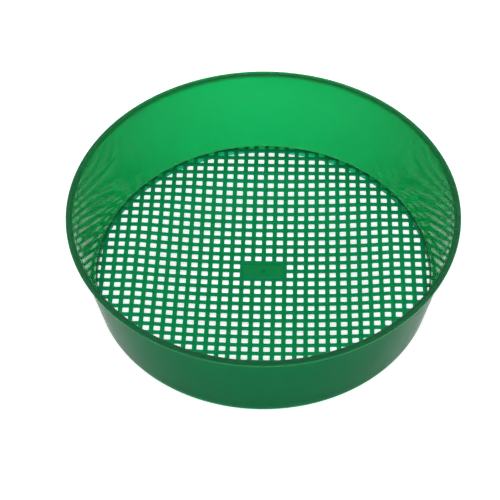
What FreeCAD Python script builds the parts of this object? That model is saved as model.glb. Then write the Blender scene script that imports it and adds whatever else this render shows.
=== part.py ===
"""Soil sieve: a round, tapered plastic bowl with a dished floor of square mesh.

The sieve is one moulding. Its members are built as separate solids that meet face to face:
lip, wall, foot, mesh border, long ribs, cross ribs, centre plate and gate stub.
Millimetres. +Z is up, the origin is at the middle of the ring that the foot stands on, and
the ribs run along X and Y.
"""
import FreeCAD, Part
import math
import os

from FreeCAD import Vector

# Bowl
RIM_RADIUS = 184.8      # outside of the lip
HEIGHT = 96.8           # from the ground to the top of the lip
FOOT_RADIUS = 163.75    # outside of the wall at the ground
FOOT_WALL = 1.3         # width of the skirt's edge that the sieve stands on
WALL_BASE = 2.25        # wall thickness, measured level, at the foot
WALL_TOP = 1.25         # and at the lip
LIP_OVERHANG = 4.4      # how far the lip stands out from the wall
LIP_HEIGHT = 4.0
LIP_OUTER_ROUND = 1.9
LIP_INNER_ROUND = 1.2
FOOT_ROUND = 0.5

# Mesh floor
MESH_HEIGHT = 9.0       # middle of the flat outer mesh, above the ground
HOLE_WIDTH = 5.95
RIB_WIDTH = 4.5
RIB_DEPTH = 2.1
DISH_RADIUS = 130.0     # where the flat outer mesh turns down into the dish
DISH_DEPTH = 7.7
BORDER_WIDTH = 3.1      # ring round the mesh, from the last holes out through the wall

# Centre plate, which takes the place of a block of holes
PLATE_HOLES_LONG = 4
PLATE_HOLES_CROSS = 2
PLATE_THICKNESS = 1.5
GATE_RADIUS = 2.0
GATE_HEIGHT = 0.6

# Worked out from the sizes above
PITCH = HOLE_WIDTH + RIB_WIDTH
LIP_BOTTOM = HEIGHT - LIP_HEIGHT
DRAFT = (RIM_RADIUS - LIP_OVERHANG - FOOT_RADIUS) / LIP_BOTTOM
BORDER_BOTTOM = MESH_HEIGHT - RIB_DEPTH / 2
BORDER_TOP = MESH_HEIGHT + RIB_DEPTH / 2
PLATE_LENGTH = PLATE_HOLES_LONG * PITCH - RIB_WIDTH
PLATE_WIDTH = PLATE_HOLES_CROSS * PITCH - RIB_WIDTH
PLATE_TOP = MESH_HEIGHT - DISH_DEPTH + RIB_DEPTH / 2
PLATE_BOTTOM = PLATE_TOP - PLATE_THICKNESS
MESH_RADIUS = FOOT_RADIUS + DRAFT * BORDER_TOP - BORDER_WIDTH    # where the mesh ends
ROUND_LIMIT = 0.48      # largest rounding of an edge, as a share of the wall that it is on


def wall_outside(height):
    return FOOT_RADIUS + DRAFT * height


def wall_inside(height):
    thickness = WALL_BASE + (WALL_TOP - WALL_BASE) * height / HEIGHT
    return wall_outside(height) - thickness


def floor_height(x, y):
    """Middle of the mesh at a point: a shallow spherical dish inside a flat ring."""
    reach = math.hypot(x, y)
    if reach >= DISH_RADIUS:
        return MESH_HEIGHT
    sphere = (DISH_RADIUS ** 2 + DISH_DEPTH ** 2) / (2 * DISH_DEPTH)
    return MESH_HEIGHT - DISH_DEPTH + sphere - math.sqrt(sphere ** 2 - reach ** 2)


def limited(rounding, wall):
    return min(rounding, ROUND_LIMIT * wall)


def rounded_face(corners):
    """Face in the XZ plane from (radius, height, rounding) corners in order."""
    points = [Vector(radius, 0, height) for radius, height, _ in corners]
    edges = []
    ends = []
    for i, (_, _, rounding) in enumerate(corners):
        here = points[i]
        back = (points[i - 1] - here).normalize()
        ahead = (points[(i + 1) % len(points)] - here).normalize()
        if rounding == 0:
            ends.append((here, here))
            continue
        half_angle = back.getAngle(ahead) / 2
        start = here + back * (rounding / math.tan(half_angle))
        end = here + ahead * (rounding / math.tan(half_angle))
        middle_reach = rounding / math.sin(half_angle) - rounding
        middle = here + (back + ahead).normalize() * middle_reach
        edges.append(Part.Arc(start, middle, end).toShape())
        ends.append((start, end))
    for i, (_, end) in enumerate(ends):
        next_start = ends[(i + 1) % len(ends)][0]
        edges.append(Part.makeLine(end, next_start))
    return Part.Face(Part.Wire(Part.__sortEdges__(edges)))


def ring(corners):
    """Solid ring: the section that the corners give, turned round the Z axis in two halves.

    Two halves keep every face open-ended, so that the ring also meshes evenly.
    """
    half = rounded_face(corners).revolve(Vector(0, 0, 0), Vector(0, 0, 1), 180)
    return half.fuse(half.rotated(Vector(0, 0, 0), Vector(0, 0, 1), 180))


def make_rim_lip():
    outer_round = limited(LIP_OUTER_ROUND, LIP_HEIGHT)
    inner_round = limited(LIP_INNER_ROUND, LIP_HEIGHT)
    return ring([
        (wall_inside(LIP_BOTTOM), LIP_BOTTOM, 0),
        (RIM_RADIUS, LIP_BOTTOM, outer_round),
        (RIM_RADIUS, HEIGHT, outer_round),
        (wall_inside(HEIGHT), HEIGHT, inner_round),
    ])


def make_side_wall():
    return ring([
        (wall_inside(BORDER_TOP), BORDER_TOP, 0),
        (wall_outside(BORDER_TOP), BORDER_TOP, 0),
        (wall_outside(LIP_BOTTOM), LIP_BOTTOM, 0),
        (wall_inside(LIP_BOTTOM), LIP_BOTTOM, 0),
    ])


def make_foot_ring():
    """Skirt under the mesh: its inside runs straight from the foot's edge up to the holes."""
    foot_round = limited(FOOT_ROUND, FOOT_WALL)
    return ring([
        (FOOT_RADIUS - FOOT_WALL, 0, foot_round),
        (wall_outside(0), 0, foot_round),
        (wall_outside(BORDER_BOTTOM), BORDER_BOTTOM, 0),
        (MESH_RADIUS, BORDER_BOTTOM, 0),
    ])


def make_mesh_border():
    """Ring at the mesh's level, from the holes out through the wall."""
    return ring([
        (MESH_RADIUS, BORDER_BOTTOM, 0),
        (wall_outside(BORDER_BOTTOM), BORDER_BOTTOM, 0),
        (wall_outside(BORDER_TOP), BORDER_TOP, 0),
        (MESH_RADIUS, BORDER_TOP, 0),
    ])


def rib_offsets():
    """Places of the rib middles across the mesh; one rib passes through the centre."""
    count = math.floor((MESH_RADIUS + RIB_WIDTH / 2) / PITCH)
    return [PITCH * step for step in range(-count, count + 1)]


def crossings(offset):
    """Places along a rib where it meets the ribs of the other direction inside the mesh."""
    near = max(abs(offset) - RIB_WIDTH / 2, 0)
    return [place for place in rib_offsets()
            if math.hypot(near, max(abs(place) - RIB_WIDTH / 2, 0)) < MESH_RADIUS]


def rib_side(offset, upper):
    """Side view of one rib as (along, height) points, with a half-depth notch at each crossing.

    An upper rib is notched from below and a lower one from above, so that two ribs which
    cross share the full depth and meet on one level face.
    """
    half_depth = RIB_DEPTH / 2 if upper else -RIB_DEPTH / 2
    reach = MESH_RADIUS + PITCH
    plain = [(-reach, MESH_HEIGHT + half_depth)]
    notched = [(-reach, MESH_HEIGHT - half_depth)]
    for crossing in crossings(offset):
        seat = floor_height(offset, crossing)
        start = crossing - RIB_WIDTH / 2
        end = crossing + RIB_WIDTH / 2
        start_height = floor_height(offset, start)
        end_height = floor_height(offset, end)
        plain += [(start, start_height + half_depth), (end, end_height + half_depth)]
        notched += [(start, start_height - half_depth), (start, seat)]
        notched += [(end, seat), (end, end_height - half_depth)]
    plain.append((reach, MESH_HEIGHT + half_depth))
    notched.append((reach, MESH_HEIGHT - half_depth))
    return plain + notched[::-1]


def make_rib(offset, upper):
    """One rib, longer than the mesh: upper ribs run along X, lower ones along Y."""
    side = rib_side(offset, upper)
    near = offset - RIB_WIDTH / 2
    if upper:
        points = [Vector(along, near, height) for along, height in side]
        width = Vector(0, RIB_WIDTH, 0)
    else:
        points = [Vector(near, along, height) for along, height in side]
        width = Vector(RIB_WIDTH, 0, 0)
    return Part.Face(Part.makePolygon(points + points[:1])).extrude(width)


def plate_block(bottom, top):
    """Upright block that fills the plate's holes, between the ribs that stand round them."""
    return Part.makeBox(PLATE_LENGTH, PLATE_WIDTH, top - bottom,
                        Vector(-PLATE_LENGTH / 2, -PLATE_WIDTH / 2, bottom))


def make_ribs(upper):
    """All the ribs of one direction, trimmed to the round mesh and to the centre plate."""
    mesh_disc = Part.makeCylinder(MESH_RADIUS, HEIGHT, Vector(0, 0, -HEIGHT / 2))
    around_plate = mesh_disc.cut(plate_block(-HEIGHT / 2, HEIGHT / 2))
    plate_reach = (PLATE_WIDTH if upper else PLATE_LENGTH) / 2
    ribs = []
    for offset in rib_offsets():
        room = around_plate if abs(offset) < plate_reach else mesh_disc
        ribs += make_rib(offset, upper).common(room).Solids
    return Part.makeCompound(ribs)


def make_centre_plate():
    return plate_block(PLATE_BOTTOM, PLATE_TOP)


def make_gate_stub():
    return Part.makeCylinder(GATE_RADIUS, GATE_HEIGHT, Vector(0, 0, PLATE_BOTTOM - GATE_HEIGHT))


NODES = {
    "rim_lip": make_rim_lip(),
    "side_wall": make_side_wall(),
    "foot_ring": make_foot_ring(),
    "mesh_border": make_mesh_border(),
    "long_ribs": make_ribs(True),
    "cross_ribs": make_ribs(False),
    "centre_plate": make_centre_plate(),
    "gate_stub": make_gate_stub(),
}

os.makedirs("parts", exist_ok=True)
for name, shape in NODES.items():
    shape.exportStep(f"parts/{name}.step")
    print(f"{name}: {len(shape.Solids)} solids, {shape.Volume / 1000:.2f} cm3, valid {shape.isValid()}")
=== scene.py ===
"""Looks of the soil sieve: one moulding of glossy, slightly translucent green polypropylene.

The bowl is one skin turned from its section. The floor is a lattice of ribs with rounded edges,
with the centre plate and the stub of the gate joined into it. Both take their sizes from the
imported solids. Metres throughout.
"""
import math

import bmesh
import bpy
from mathutils import Matrix, Vector


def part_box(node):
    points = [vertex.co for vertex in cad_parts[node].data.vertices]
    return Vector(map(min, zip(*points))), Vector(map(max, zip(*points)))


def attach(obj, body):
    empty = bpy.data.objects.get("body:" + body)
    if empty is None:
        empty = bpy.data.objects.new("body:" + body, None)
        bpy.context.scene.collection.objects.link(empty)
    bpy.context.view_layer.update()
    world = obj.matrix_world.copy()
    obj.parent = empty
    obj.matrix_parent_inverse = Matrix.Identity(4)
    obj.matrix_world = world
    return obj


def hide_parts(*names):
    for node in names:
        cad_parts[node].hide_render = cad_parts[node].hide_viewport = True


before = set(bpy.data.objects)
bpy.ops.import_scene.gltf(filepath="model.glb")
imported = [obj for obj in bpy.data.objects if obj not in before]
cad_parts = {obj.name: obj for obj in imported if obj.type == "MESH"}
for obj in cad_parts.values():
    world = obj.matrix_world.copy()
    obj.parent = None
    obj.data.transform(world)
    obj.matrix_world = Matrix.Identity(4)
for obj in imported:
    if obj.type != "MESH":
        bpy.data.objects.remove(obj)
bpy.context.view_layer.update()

MM = 0.001

# Sizes read from the solids
RIM_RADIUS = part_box("rim_lip")[1].x
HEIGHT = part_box("rim_lip")[1].z
LIP_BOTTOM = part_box("rim_lip")[0].z
WALL_TOP_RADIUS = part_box("side_wall")[1].x
BORDER_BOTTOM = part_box("mesh_border")[0].z
BORDER_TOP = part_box("mesh_border")[1].z
BORDER_TOP_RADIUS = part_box("mesh_border")[1].x
MESH_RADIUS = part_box("long_ribs")[1].x
PLATE_LENGTH, PLATE_WIDTH = (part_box("centre_plate")[1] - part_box("centre_plate")[0]).xy
PLATE_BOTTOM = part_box("centre_plate")[0].z
PLATE_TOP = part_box("centre_plate")[1].z
GATE_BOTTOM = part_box("gate_stub")[0].z
GATE_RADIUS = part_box("gate_stub")[1].x

# The plate takes the place of 4 by 2 holes, which gives the pitch and the rib between them
PLATE_HOLES_LONG = 4
PLATE_HOLES_CROSS = 2
PITCH = (PLATE_LENGTH - PLATE_WIDTH) / (PLATE_HOLES_LONG - PLATE_HOLES_CROSS)
RIB_WIDTH = PLATE_HOLES_LONG * PITCH - PLATE_LENGTH
RIB_DEPTH = BORDER_TOP - BORDER_BOTTOM
MESH_HEIGHT = (BORDER_TOP + BORDER_BOTTOM) / 2

# The dish
DISH_RADIUS = 130 * MM
DISH_DEPTH = BORDER_TOP - PLATE_TOP
DISH_FULLNESS = 2.4     # 2 is close to a sphere; more is flatter in the middle, steeper at the edge
DISH_BLEND = 0.06       # how softly the dish runs out into the flat outer mesh

# Sizes of the bowl's skin that the solids leave out, or that differ from theirs
WALL_THICKNESS = 2.25 * MM   # even, measured level; the solids' wall tapers to 1.25 mm at the lip
LIP_OUTER_ROUND = 1.9 * MM
LIP_INNER_ROUND = 3.2 * MM
LIP_UNDER_FILLET = 2.4 * MM
POLISHED_TO = 1.6 * MM       # the polished inside ends this far below the top of the lip
LEDGE_FILLET = 0.6 * MM      # between the wall and the ledge that the mesh hangs from
LEDGE_ROUND = 0.2 * MM
FOOT_WALL = 1.3 * MM         # width of the edge that the sieve stands on
FOOT_ROUND = 0.5 * MM
STEPS_AROUND = 360
STEPS_PER_CORNER = 4
INWARD_SHARE = 0.4           # a face with more of its normal than this towards the axis faces in

# Sizes of the mesh floor
RIB_ROUND = 0.95 * MM
RIB_ROUND_SEGMENTS = 3
TRIM_INTO_WALL = 1.9 * MM    # how far the ribs run into the border before they end
TRIM_SIDES = 256
PLATE_INTO_RIBS = 1.0 * MM   # how far the plate runs into the rounded ribs round it
PLATE_EDGE_WIDTH = 1.6 * MM  # the plate's edge drops a little, so that it meets the ribs softly
PLATE_EDGE_DROP = 0.08 * MM
SINK_RADIUS = 3.5 * MM       # the plate sinks a little opposite the gate
SINK_DEPTH = 0.06 * MM
GATE_INTO_PLATE = 0.05 * MM
GATE_TAPER = 0.85            # radius of the stub's end, as a share of its root
GATE_EDGE_ROUND = 0.15 * MM

SHARP_ANGLE = 40
GATE_SHARP_ANGLE = 50
WELD = 0.01 * MM             # points nearer than this become one

# Finishes of the mould: roughness from smoothest to roughest, and depth of orange peel and of sink
SATIN_FINISH = {"roughness": (0.15, 0.22), "peel_depth": 0.005 * MM, "sink_depth": 0.15 * MM}
POLISHED_FINISH = {"roughness": (0.08, 0.1), "peel_depth": 0.0005 * MM, "sink_depth": 0.08 * MM}


def wall_outside(height):
    slope = (WALL_TOP_RADIUS - BORDER_TOP_RADIUS) / (LIP_BOTTOM - BORDER_TOP)
    return BORDER_TOP_RADIUS + slope * (height - BORDER_TOP)


def wall_inside(height):
    return wall_outside(height) - WALL_THICKNESS


def linear(hex_colour):
    """Linear RGBA of an sRGB hex colour such as '1f7a3c'."""
    channels = [int(hex_colour[i:i + 2], 16) / 255 for i in (0, 2, 4)]
    return [c / 12.92 if c <= 0.04045 else ((c + 0.055) / 1.055) ** 2.4 for c in channels] + [1.0]


def add_node(tree, kind, inputs=None, **settings):
    """A node with its settings; each input is a value, or an output socket to link from."""
    node = tree.nodes.new(kind)
    for name, value in settings.items():
        setattr(node, name, value)
    for key, value in (inputs or {}).items():
        if isinstance(value, bpy.types.NodeSocket):
            tree.links.new(value, node.inputs[key])
        else:
            node.inputs[key].default_value = value
    return node


# ---------------------------------------------------------------- materials

def polypropylene(name, deeper, lighter, ior, roughness, peel_depth, sink_depth):
    """Injection-moulded polypropylene, deep green, with light coming through the thin wall.

    The pigment lets light pass, more in green than in red or blue, so the lit wall glows and
    the thick lip stays dark; the copies for the lip and the centre plate are darker still, as
    painted shade. The gloss is the mould's: a polished core for the inside, which
    mirrors the mesh at a low angle, and a duller cavity for the outside and the ribs.
    """
    material = bpy.data.materials.new(name)
    material.use_nodes = True
    tree = material.node_tree
    tree.nodes.clear()
    place = add_node(tree, "ShaderNodeTexCoord").outputs["Object"]

    # Pigment: slow clouds a few centimetres wide, barely lighter than the ground colour
    clouds = add_node(tree, "ShaderNodeTexNoise", {"Vector": place, "Scale": 1 / (45 * MM), "Detail": 3.0})
    pigment = add_node(tree, "ShaderNodeMix", {
        0: clouds.outputs["Fac"], 6: linear(deeper), 7: linear(lighter)}, data_type="RGBA")

    # Gloss: the mould's polish varies over about a centimetre
    polish = add_node(tree, "ShaderNodeTexNoise", {"Vector": place, "Scale": 1 / (12 * MM), "Detail": 2.0})
    smoothest, roughest = roughness
    dullness = add_node(tree, "ShaderNodeMapRange", {
        "Value": polish.outputs["Fac"], "To Min": smoothest, "To Max": roughest})

    # Orange peel about 1.5 mm across, and sink over about 30 mm that bends reflections a little
    peel = add_node(tree, "ShaderNodeTexNoise", {"Vector": place, "Scale": 1 / (1.5 * MM), "Detail": 2.0})
    sink = add_node(tree, "ShaderNodeTexNoise", {"Vector": place, "Scale": 1 / (30 * MM), "Detail": 1.0})
    fine = add_node(tree, "ShaderNodeBump", {
        "Height": peel.outputs["Fac"], "Distance": peel_depth, "Strength": 1.0})
    relief = add_node(tree, "ShaderNodeBump", {
        "Height": sink.outputs["Fac"], "Distance": sink_depth, "Strength": 1.0,
        "Normal": fine.outputs["Normal"]})

    shader = add_node(tree, "ShaderNodeBsdfPrincipled", {
        "Base Color": pigment.outputs[2],
        "Roughness": dullness.outputs["Result"],
        "Normal": relief.outputs["Normal"],
        "IOR": ior,
        "Subsurface Weight": 1.0,
        "Subsurface Radius": (0.5, 1.0, 0.58),
        "Subsurface Scale": 20 * MM,
    })
    add_node(tree, "ShaderNodeOutputMaterial", {"Surface": shader.outputs["BSDF"]})
    return material


def seen_level(tree, lit, seen):
    """One level for the rays that light things, another where it is seen straight, in gloss or through."""
    rays = add_node(tree, "ShaderNodeLightPath").outputs
    straight = add_node(tree, "ShaderNodeMath", {
        0: rays["Is Camera Ray"], 1: rays["Is Glossy Ray"]}, operation="MAXIMUM")
    share = add_node(tree, "ShaderNodeMath", {
        0: straight.outputs[0], 1: rays["Is Transmission Ray"]}, operation="MAXIMUM")
    level = add_node(tree, "ShaderNodeMapRange", {"Value": share.outputs[0], "To Min": lit, "To Max": seen})
    return level.outputs["Result"]


def studio_paper(colour, glow_lit, glow):
    """Matt white paper that glows on every ray, so that it lights the sieve from below as a lit table would,
    and glows more where it is seen, so it stays white.
    """
    material = bpy.data.materials.new("matt white studio paper")
    material.use_nodes = True
    tree = material.node_tree
    tree.nodes.clear()
    paper = add_node(tree, "ShaderNodeBsdfDiffuse", {"Color": linear(colour), "Roughness": 1.0})
    shine = add_node(tree, "ShaderNodeEmission", {
        "Color": linear("ffffff"), "Strength": seen_level(tree, glow_lit, glow)})
    both = add_node(tree, "ShaderNodeAddShader", {0: paper.outputs[0], 1: shine.outputs[0]})
    add_node(tree, "ShaderNodeOutputMaterial", {"Surface": both.outputs[0]})
    return material


# ---------------------------------------------------------------- node trees

def new_tree(name, sockets):
    """A geometry tree with a geometry input and output and the named inputs given."""
    tree = bpy.data.node_groups.new(name, "GeometryNodeTree")
    tree.interface.new_socket("Geometry", in_out="INPUT", socket_type="NodeSocketGeometry")
    for socket, kind in sockets.items():
        tree.interface.new_socket(socket, in_out="INPUT", socket_type=kind)
    tree.interface.new_socket("Geometry", in_out="OUTPUT", socket_type="NodeSocketGeometry")
    return tree, add_node(tree, "NodeGroupInput").outputs


def finish_tree(tree, geometry, inputs):
    """Realize Instances and Set Material, the last two steps of every tree."""
    real = add_node(tree, "GeometryNodeRealizeInstances", {"Geometry": geometry})
    dressed = add_node(tree, "GeometryNodeSetMaterial", {
        "Geometry": real.outputs[0], "Material": inputs["Material"]})
    add_node(tree, "NodeGroupOutput", {0: dressed.outputs[0]})


def turned_section_tree():
    """Rounds the corners of a closed section by its 'rounding' attribute, and turns it about Z."""
    tree, inputs = new_tree("turned section", {
        "Turning radius": "NodeSocketFloat", "Steps around": "NodeSocketInt",
        "Steps per corner": "NodeSocketInt", "Material": "NodeSocketMaterial"})
    section = add_node(tree, "GeometryNodeMeshToCurve", {"Mesh": inputs["Geometry"]})
    rounding = add_node(tree, "GeometryNodeInputNamedAttribute", {"Name": "rounding"}, data_type="FLOAT")
    rounded = add_node(tree, "GeometryNodeFilletCurve", {
        "Curve": section.outputs[0], "Count": inputs["Steps per corner"],
        "Radius": rounding.outputs[0], "Limit Radius": True}, mode="POLY")
    circle = add_node(tree, "GeometryNodeCurvePrimitiveCircle", {
        "Resolution": inputs["Steps around"], "Radius": inputs["Turning radius"]})
    skin = add_node(tree, "GeometryNodeCurveToMesh", {
        "Curve": circle.outputs[0], "Profile Curve": rounded.outputs[0]})
    merged = add_node(tree, "GeometryNodeMergeByDistance", {"Geometry": skin.outputs[0], "Distance": WELD})
    finish_tree(tree, merged.outputs[0], inputs)
    return tree


def lattice_tree():
    """Square lattice of ribs as one closed slab, with a block left open in the middle for the plate."""
    tree, inputs = new_tree("rib lattice", {
        "Pitch": "NodeSocketFloat", "Rib width": "NodeSocketFloat", "Depth": "NodeSocketFloat",
        "Ribs each way": "NodeSocketInt", "Plate length": "NodeSocketFloat",
        "Plate width": "NodeSocketFloat", "Material": "NodeSocketMaterial"})

    # A grid with two lines for each rib, one unit apart, that are then moved to the ribs' sides
    lines = add_node(tree, "ShaderNodeMath", {
        0: inputs["Ribs each way"], 1: 2}, operation="MULTIPLY").outputs[0]
    span = add_node(tree, "ShaderNodeMath", {0: lines, 1: 1}, operation="SUBTRACT").outputs[0]
    grid = add_node(tree, "GeometryNodeMeshGrid", {
        "Size X": span, "Size Y": span, "Vertices X": lines, "Vertices Y": lines})
    at = add_node(tree, "ShaderNodeSeparateXYZ", {
        0: add_node(tree, "GeometryNodeInputPosition").outputs[0]}).outputs
    minus_middle_rib = add_node(tree, "ShaderNodeMath", {
        0: span, 1: -0.25, 2: 0.25}, operation="MULTIPLY_ADD").outputs[0]
    moved = []
    for axis in ("X", "Y"):
        line = add_node(tree, "ShaderNodeMath", {
            0: span, 1: 0.5, 2: at[axis]}, operation="MULTIPLY_ADD").outputs[0]
        pair = add_node(tree, "ShaderNodeMath", {
            0: line, 1: 0.5, 2: 0.25}, operation="MULTIPLY_ADD").outputs[0]
        rib = add_node(tree, "ShaderNodeMath", {0: pair}, operation="FLOOR").outputs[0]
        side = add_node(tree, "ShaderNodeMath", {
            0: rib, 1: -2.0, 2: line}, operation="MULTIPLY_ADD").outputs[0]
        ribs_out = add_node(tree, "ShaderNodeMath", {0: rib, 1: minus_middle_rib}, operation="ADD").outputs[0]
        rib_place = add_node(tree, "ShaderNodeMath", {
            0: ribs_out, 1: inputs["Pitch"]}, operation="MULTIPLY").outputs[0]
        off_middle = add_node(tree, "ShaderNodeMath", {0: side, 1: 0.5}, operation="SUBTRACT").outputs[0]
        side_place = add_node(tree, "ShaderNodeMath", {
            0: off_middle, 1: inputs["Rib width"]}, operation="MULTIPLY").outputs[0]
        moved.append(add_node(tree, "ShaderNodeMath", {
            0: rib_place, 1: side_place}, operation="ADD").outputs[0])
    places = add_node(tree, "ShaderNodeCombineXYZ", {"X": moved[0], "Y": moved[1]})
    spaced = add_node(tree, "GeometryNodeSetPosition", {
        "Geometry": grid.outputs["Mesh"], "Position": places.outputs[0]})

    # A face is open where it lies between ribs both ways, or in the plate's block
    half_rib = add_node(tree, "ShaderNodeMath", {
        0: inputs["Rib width"], 1: 0.5}, operation="MULTIPLY").outputs[0]
    half_pitch = add_node(tree, "ShaderNodeMath", {
        0: inputs["Pitch"], 1: 0.5}, operation="MULTIPLY").outputs[0]
    between = []
    inside_plate = []
    for axis, size in (("X", "Plate length"), ("Y", "Plate width")):
        from_rib = add_node(tree, "ShaderNodeMath", {
            0: at[axis], 1: half_pitch}, operation="PINGPONG").outputs[0]
        between.append(add_node(tree, "ShaderNodeMath", {
            0: from_rib, 1: half_rib}, operation="GREATER_THAN").outputs[0])
        from_middle = add_node(tree, "ShaderNodeMath", {0: at[axis]}, operation="ABSOLUTE").outputs[0]
        half_plate = add_node(tree, "ShaderNodeMath", {
            0: inputs[size], 1: 0.5}, operation="MULTIPLY").outputs[0]
        inside_plate.append(add_node(tree, "ShaderNodeMath", {
            0: from_middle, 1: half_plate}, operation="LESS_THAN").outputs[0])
    gap = add_node(tree, "ShaderNodeMath", {0: between[0], 1: between[1]}, operation="MULTIPLY")
    plate = add_node(tree, "ShaderNodeMath", {0: inside_plate[0], 1: inside_plate[1]}, operation="MULTIPLY")
    opening = add_node(tree, "ShaderNodeMath", {0: gap.outputs[0], 1: plate.outputs[0]}, operation="MAXIMUM")
    sheet = add_node(tree, "GeometryNodeDeleteGeometry", {
        "Geometry": spaced.outputs[0], "Selection": opening.outputs[0]}, domain="FACE")

    # Upper face and sides by extrusion, lower face by the sheet turned over
    up = add_node(tree, "ShaderNodeCombineXYZ", {"Z": 1.0})
    raised = add_node(tree, "GeometryNodeExtrudeMesh", {
        "Mesh": sheet.outputs[0], "Offset": up.outputs[0], "Offset Scale": inputs["Depth"],
        "Individual": False})
    under = add_node(tree, "GeometryNodeFlipFaces", {"Mesh": sheet.outputs[0]})
    slab = add_node(tree, "GeometryNodeJoinGeometry")
    tree.links.new(raised.outputs["Mesh"], slab.inputs[0])
    tree.links.new(under.outputs[0], slab.inputs[0])
    closed = add_node(tree, "GeometryNodeMergeByDistance", {"Geometry": slab.outputs[0], "Distance": WELD})
    finish_tree(tree, closed.outputs[0], inputs)
    return tree


def dish_tree():
    """Trims the lattice to a disc and lowers its middle into the dish."""
    tree, inputs = new_tree("trim and dish", {
        "Disc radius": "NodeSocketFloat", "Middle height": "NodeSocketFloat", "Depth": "NodeSocketFloat",
        "Dish radius": "NodeSocketFloat", "Dish depth": "NodeSocketFloat",
        "Dish fullness": "NodeSocketFloat", "Dish blend": "NodeSocketFloat",
        "Material": "NodeSocketMaterial"})
    disc = add_node(tree, "GeometryNodeMeshCylinder", {
        "Vertices": TRIM_SIDES, "Radius": inputs["Disc radius"], "Depth": 100 * MM})
    cut = add_node(tree, "GeometryNodeMeshBoolean", {"Mesh 2": inputs["Geometry"]},
                   operation="INTERSECT", solver="MANIFOLD")
    tree.links.new(disc.outputs["Mesh"], cut.inputs["Mesh 2"])

    # The dish as a share of its depth: 1 in the middle and below 0 outside its radius
    place = add_node(tree, "GeometryNodeInputPosition").outputs[0]
    flat = add_node(tree, "ShaderNodeVectorMath", {0: place, 1: (1.0, 1.0, 0.0)}, operation="MULTIPLY")
    reach = add_node(tree, "ShaderNodeVectorMath", {0: flat.outputs[0]}, operation="LENGTH").outputs["Value"]
    share = add_node(tree, "ShaderNodeMath", {
        0: reach, 1: inputs["Dish radius"]}, operation="DIVIDE").outputs[0]
    steepened = add_node(tree, "ShaderNodeMath", {
        0: share, 1: inputs["Dish fullness"]}, operation="POWER").outputs[0]
    bowl = add_node(tree, "ShaderNodeMath", {0: 1.0, 1: steepened}, operation="SUBTRACT").outputs[0]

    # Its smooth larger of that and 0: half of (bowl + root of (bowl squared + blend squared))
    bowl_squared = add_node(tree, "ShaderNodeMath", {0: bowl, 1: bowl}, operation="MULTIPLY").outputs[0]
    blend_squared = add_node(tree, "ShaderNodeMath", {
        0: inputs["Dish blend"], 1: inputs["Dish blend"]}, operation="MULTIPLY").outputs[0]
    bend = add_node(tree, "ShaderNodeMath", {0: bowl_squared, 1: blend_squared}, operation="ADD").outputs[0]
    root = add_node(tree, "ShaderNodeMath", {0: bend}, operation="SQRT").outputs[0]
    both = add_node(tree, "ShaderNodeMath", {0: bowl, 1: root}, operation="ADD").outputs[0]
    smooth = add_node(tree, "ShaderNodeMath", {0: both, 1: 0.5}, operation="MULTIPLY").outputs[0]

    sunk = add_node(tree, "ShaderNodeMath", {
        0: smooth, 1: inputs["Dish depth"]}, operation="MULTIPLY").outputs[0]
    base = add_node(tree, "ShaderNodeMath", {
        0: inputs["Depth"], 1: -0.5, 2: inputs["Middle height"]}, operation="MULTIPLY_ADD").outputs[0]
    rise = add_node(tree, "ShaderNodeMath", {0: base, 1: sunk}, operation="SUBTRACT").outputs[0]
    shift = add_node(tree, "ShaderNodeCombineXYZ", {"Z": rise})
    dished = add_node(tree, "GeometryNodeSetPosition", {
        "Geometry": cut.outputs[0], "Offset": shift.outputs[0]})
    finish_tree(tree, dished.outputs[0], inputs)
    return tree


# ---------------------------------------------------------------- pieces

def link(mesh, name):
    piece = bpy.data.objects.new(name, mesh)
    bpy.context.scene.collection.objects.link(piece)
    return piece


def grow(piece, tree, values):
    """Adds the tree as a modifier, with its inputs set by their names."""
    modifier = piece.modifiers.new(tree.name, "NODES")
    modifier.node_group = tree
    for socket in tree.interface.items_tree:
        if socket.in_out == "INPUT" and socket.name in values:
            modifier[socket.identifier] = values[socket.name]


def settle(piece):
    """Turns the piece and its modifiers into a plain mesh."""
    depsgraph = bpy.context.evaluated_depsgraph_get()
    mesh = bpy.data.meshes.new_from_object(piece.evaluated_get(depsgraph))
    piece.modifiers.clear()
    piece.data = mesh
    mesh.name = piece.name


def shade(piece, angle):
    """Smooth shading, with edges sharper than the angle kept crisp."""
    piece.data.shade_smooth()
    piece.data.set_sharp_from_angle(angle=math.radians(angle))


def face_outwards(piece):
    shape = bmesh.new()
    shape.from_mesh(piece.data)
    bmesh.ops.recalc_face_normals(shape, faces=shape.faces)
    shape.to_mesh(piece.data)
    shape.free()


def turned_piece(name, corners, material):
    """Closed ring from its section: (radius, height, rounding) corners in order."""
    turning = corners[0][0]
    mesh = bpy.data.meshes.new(name)
    # The tree's sweep puts the section's Y axis downwards
    points = [(radius - turning, -height, 0) for radius, height, _ in corners]
    mesh.from_pydata(points, [(i, (i + 1) % len(points)) for i in range(len(points))], [])
    rounding = mesh.attributes.new("rounding", "FLOAT", "POINT")
    rounding.data.foreach_set("value", [size for _, _, size in corners])
    piece = link(mesh, name)
    grow(piece, turned_section_tree(), {
        "Turning radius": turning, "Steps around": STEPS_AROUND, "Steps per corner": STEPS_PER_CORNER,
        "Material": material})
    settle(piece)
    face_outwards(piece)
    shade(piece, SHARP_ANGLE)
    return piece


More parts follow.
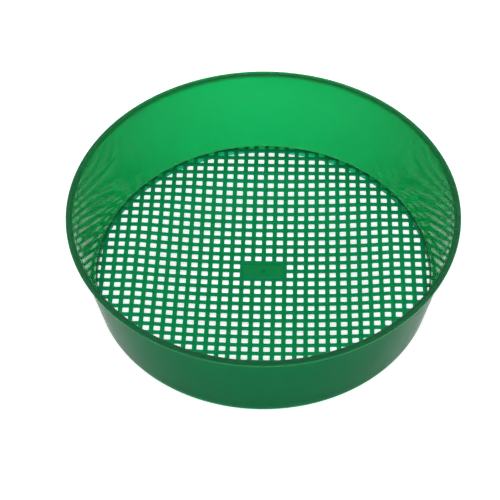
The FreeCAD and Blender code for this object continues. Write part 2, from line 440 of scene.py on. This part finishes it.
def make_bowl(outside, inside, lip):
    """Lip, wall, ledge that the mesh hangs from, and foot, as the one skin of the moulding."""
    piece = turned_piece("bowl", [
        (wall_outside(0) - FOOT_WALL, 0, FOOT_ROUND),
        (wall_outside(0), 0, FOOT_ROUND),
        (wall_outside(LIP_BOTTOM), LIP_BOTTOM, LIP_UNDER_FILLET),
        (RIM_RADIUS, LIP_BOTTOM, LIP_OUTER_ROUND),
        (RIM_RADIUS, HEIGHT, LIP_OUTER_ROUND),
        (wall_inside(HEIGHT), HEIGHT, LIP_INNER_ROUND),
        (wall_inside(BORDER_TOP), BORDER_TOP, LEDGE_FILLET),
        (MESH_RADIUS, BORDER_TOP, LEDGE_ROUND),
        (MESH_RADIUS, BORDER_BOTTOM, LEDGE_ROUND),
    ], outside)
    piece.data.materials.append(inside)
    piece.data.materials.append(lip)
    # Inside faces below the lip take the polished copy; the lip takes its darker copy, which is painted shade
    for face in piece.data.polygons:
        middle = face.center
        faces_in = face.normal.xy.dot(middle.xy) < -INWARD_SHARE * middle.xy.length
        if faces_in and BORDER_TOP < middle.z < HEIGHT - POLISHED_TO:
            face.material_index = 1
        elif middle.z > LIP_BOTTOM:
            face.material_index = 2
    return piece


def make_mesh_floor(material, plate_painted_shade, middle):
    """Ribs with rounded edges, trimmed inside the bowl's ledge and dished, with the middle joined in."""
    piece = link(bpy.data.meshes.new("mesh_floor"), "mesh_floor")
    disc = MESH_RADIUS + TRIM_INTO_WALL
    ribs = 2 * math.ceil(disc / PITCH) + 1
    grow(piece, lattice_tree(), {
        "Pitch": PITCH, "Rib width": RIB_WIDTH, "Depth": RIB_DEPTH, "Ribs each way": ribs,
        "Plate length": PLATE_LENGTH, "Plate width": PLATE_WIDTH, "Material": material})
    bevel = piece.modifiers.new("rounded edges", "BEVEL")
    bevel.width = RIB_ROUND
    bevel.segments = RIB_ROUND_SEGMENTS
    bevel.limit_method = "ANGLE"
    bevel.use_clamp_overlap = True
    grow(piece, dish_tree(), {
        "Disc radius": disc, "Middle height": MESH_HEIGHT, "Depth": RIB_DEPTH,
        "Dish radius": DISH_RADIUS, "Dish depth": DISH_DEPTH, "Dish fullness": DISH_FULLNESS,
        "Dish blend": DISH_BLEND, "Material": material})
    for part in middle:
        joined = piece.modifiers.new(part.name, "BOOLEAN")
        joined.operation = "UNION"
        joined.solver = "MANIFOLD"
        joined.object = part
    settle(piece)
    for part in middle:
        bpy.data.objects.remove(part)
    # The plate's faces take its darker copy, which is painted shade
    piece.data.materials.append(plate_painted_shade)
    for face in piece.data.polygons:
        if abs(face.center.x) < PLATE_LENGTH / 2 and abs(face.center.y) < PLATE_WIDTH / 2:
            face.material_index = 1
    shade(piece, SHARP_ANGLE)
    return piece


def make_centre_plate(material):
    """Plain plate between the ribs, level with them, with a faint sink over the gate."""
    mesh = bpy.data.meshes.new("centre_plate")
    shape = bmesh.new()
    bmesh.ops.create_grid(shape, x_segments=64, y_segments=32, size=0.5)
    length = PLATE_LENGTH + 2 * PLATE_INTO_RIBS
    width = PLATE_WIDTH + 2 * PLATE_INTO_RIBS
    bmesh.ops.scale(shape, vec=(length, width, 1), verts=shape.verts)
    for point in shape.verts:
        from_edge = min(length / 2 - abs(point.co.x), width / 2 - abs(point.co.y))
        edge_drop = PLATE_EDGE_DROP * max(0, 1 - from_edge / PLATE_EDGE_WIDTH) ** 2
        sink = SINK_DEPTH * math.exp(-(point.co.xy.length / SINK_RADIUS) ** 2)
        point.co.z = PLATE_TOP - sink - edge_drop
    shape.to_mesh(mesh)
    shape.free()
    mesh.materials.append(material)
    piece = link(mesh, "centre_plate_skin")
    body = piece.modifiers.new("thickness", "SOLIDIFY")
    body.thickness = PLATE_TOP - PLATE_BOTTOM
    body.offset = -1
    settle(piece)
    shade(piece, SHARP_ANGLE)
    return piece


def make_gate_mark(material):
    """Stub that is left where the sprue was snapped off, under the plate."""
    mesh = bpy.data.meshes.new("gate_mark")
    shape = bmesh.new()
    top = PLATE_BOTTOM + GATE_INTO_PLATE
    bmesh.ops.create_cone(shape, cap_ends=True, segments=48, radius1=GATE_TAPER * GATE_RADIUS,
                          radius2=GATE_RADIUS, depth=top - GATE_BOTTOM)
    bmesh.ops.translate(shape, vec=(0, 0, (top + GATE_BOTTOM) / 2), verts=shape.verts)
    lower_edges = [edge for edge in shape.edges if max(end.co.z for end in edge.verts) < PLATE_BOTTOM]
    bmesh.ops.bevel(shape, geom=lower_edges, offset=GATE_EDGE_ROUND, segments=3, affect="EDGES",
                    profile=0.5)
    shape.to_mesh(mesh)
    shape.free()
    mesh.materials.append(material)
    piece = link(mesh, "gate_mark")
    face_outwards(piece)
    shade(piece, GATE_SHARP_ANGLE)
    return piece


# ---------------------------------------------------------------- studio

def make_floor():
    """White paper that the sieve stands on."""
    half = 3.0
    mesh = bpy.data.meshes.new("floor")
    mesh.from_pydata([(-half, -half, 0), (half, -half, 0), (half, half, 0), (-half, half, 0)], [],
                     [(0, 1, 2, 3)])
    mesh.materials.append(studio_paper("eeeeee", glow_lit=0.5, glow=0.8))
    link(mesh, "floor")


def make_world():
    """Even soft light from all round, as in a light tent."""
    world = bpy.data.worlds.new("light tent")
    bpy.context.scene.world = world
    world.use_nodes = True
    tree = world.node_tree
    tree.nodes.clear()
    tent = add_node(tree, "ShaderNodeBackground", {
        "Color": linear("ffffff"), "Strength": seen_level(tree, lit=0.25, seen=1.0)})
    add_node(tree, "ShaderNodeOutputWorld", {"Surface": tent.outputs[0]})


def add_softbox(name, place, aim, width, height, power, in_gloss):
    """Soft lamp, never seen itself; one that isn't in gloss leaves no hard-edged reflection either."""
    lamp = bpy.data.lights.new(name, "AREA")
    lamp.shape = "RECTANGLE"
    lamp.size = width
    lamp.size_y = height
    lamp.energy = power
    softbox = bpy.data.objects.new(name, lamp)
    softbox.location = place
    softbox.rotation_euler = (Vector(aim) - Vector(place)).to_track_quat("-Z", "Y").to_euler()
    softbox.visible_camera = False
    softbox.visible_glossy = in_gloss
    bpy.context.scene.collection.objects.link(softbox)


def add_camera():
    """Long lens, about 49 degrees above the bench, with a slight roll."""
    elevation = math.radians(49.41)
    azimuth = math.radians(2.16)
    roll = math.radians(-0.75)
    distance = 1.545
    aim = Vector((-0.0136, 0.0204, MESH_HEIGHT))
    back = Vector((math.sin(azimuth) * math.cos(elevation), -math.cos(azimuth) * math.cos(elevation),
                   math.sin(elevation)))
    lens = bpy.data.cameras.new("camera")
    lens.lens = 112.67
    lens.sensor_width = 36
    camera = bpy.data.objects.new("camera", lens)
    turn = back.to_track_quat("Z", "Y").to_matrix() @ Matrix.Rotation(roll, 3, "Z")
    camera.matrix_world = Matrix.Translation(aim + back * distance) @ turn.to_4x4()
    bpy.context.scene.collection.objects.link(camera)
    bpy.context.scene.camera = camera


# ---------------------------------------------------------------- scene

satin = polypropylene("satin moulded polypropylene", "09583a", "0a5c3d", ior=1.035, **SATIN_FINISH)
polished = polypropylene("polished moulded polypropylene", "0b5832", "0c5c35", ior=1.49, **POLISHED_FINISH)
# The lip's copy has a darker colour than the wall: painted shade, deepening the dark the thick lip gets from
# its light path
rim = polypropylene("polypropylene of the lip, darkened as painted shade", "0b5035", "0c5438", ior=1.16, **SATIN_FINISH)
# The centre plate's copy is darker than the ribs: painted shade, keeping the thin plate, lit through from
# below, a little darker than them
plate = polypropylene("polypropylene of the centre plate", "09432a", "0a472c", ior=1.035, **SATIN_FINISH)
bowl = make_bowl(satin, polished, rim)
mesh_floor = make_mesh_floor(satin, plate, [make_centre_plate(satin), make_gate_mark(satin)])

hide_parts("rim_lip", "side_wall", "foot_ring", "mesh_border")
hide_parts("long_ribs", "cross_ribs", "centre_plate", "gate_stub")
for piece in (bowl, mesh_floor):
    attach(piece, "root")

make_floor()
make_world()
add_softbox("top softbox", (0, 0.5, 1.6), (0, 0, 0), 1.5, 1.5, 13, in_gloss=True)
add_softbox("low back strip", (0, 1.0, 0.09), (0, 0, 0.09), 1.6, 0.16, 9, in_gloss=False)
add_softbox("low front strip", (0, -1.4, 0.5), (0, 0, 0.05), 1.6, 0.4, 5, in_gloss=False)
add_camera()
bpy.context.scene.view_settings.view_transform = "Standard"
